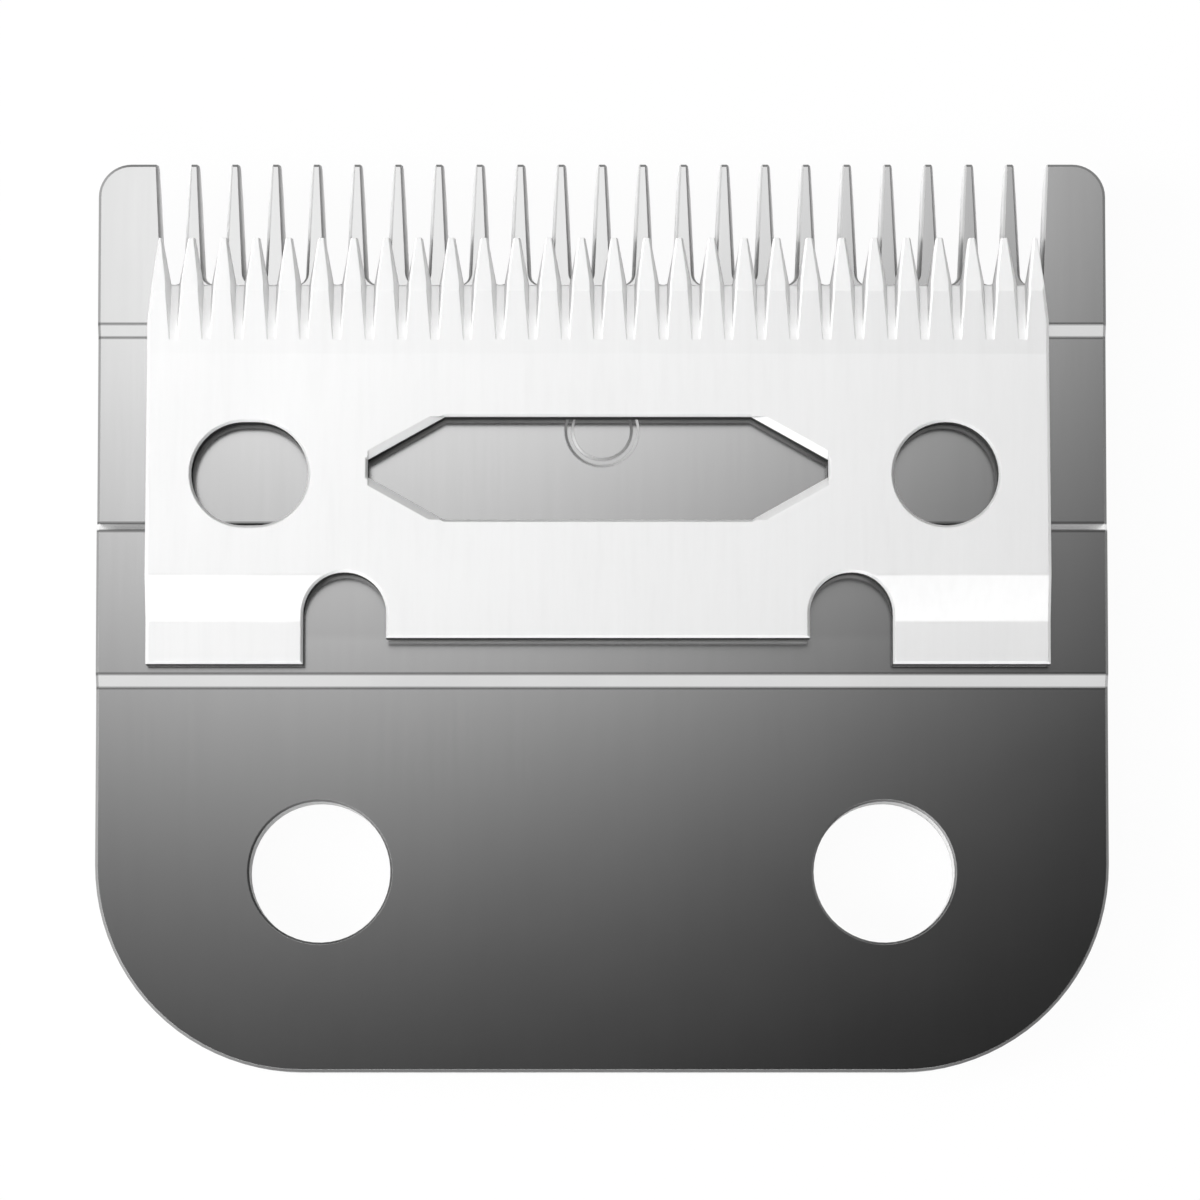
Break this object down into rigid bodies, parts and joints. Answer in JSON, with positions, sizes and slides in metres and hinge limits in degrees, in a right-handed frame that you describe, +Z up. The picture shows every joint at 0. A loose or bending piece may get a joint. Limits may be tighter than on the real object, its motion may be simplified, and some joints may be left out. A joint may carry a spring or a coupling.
{
  "type": "hair clipper blade",
  "caption": "Two-piece hair clipper blade set: a ground steel comb blade with two screw holes and a bright cutter that slides across it.",
  "frame": {"origin": "bottom centre of the bounding box: under the middle of the fixed blade, at its flat underside", "axes": "+X along the row of teeth, to the right in the picture; +Y towards the comb tips; +Z up, from the underside to the cutter"},
  "size_m": [0.046, 0.0414, 0.0051],
  "materials": {
    "ground_steel": "satin",
    "plated_steel": "satin"
  },
  "bodies": {
    "fixed": {"fixed_blade": "ground_steel"},
    "cutter": {"cutter_blade": "plated_steel"}
  },
  "joints": [
    {"name": "cutter_slide", "type": "slide", "parent": "fixed", "child": "cutter", "axis": [1, 0, 0], "range_m": [-0.00132, 0.00168]}
  ]
}
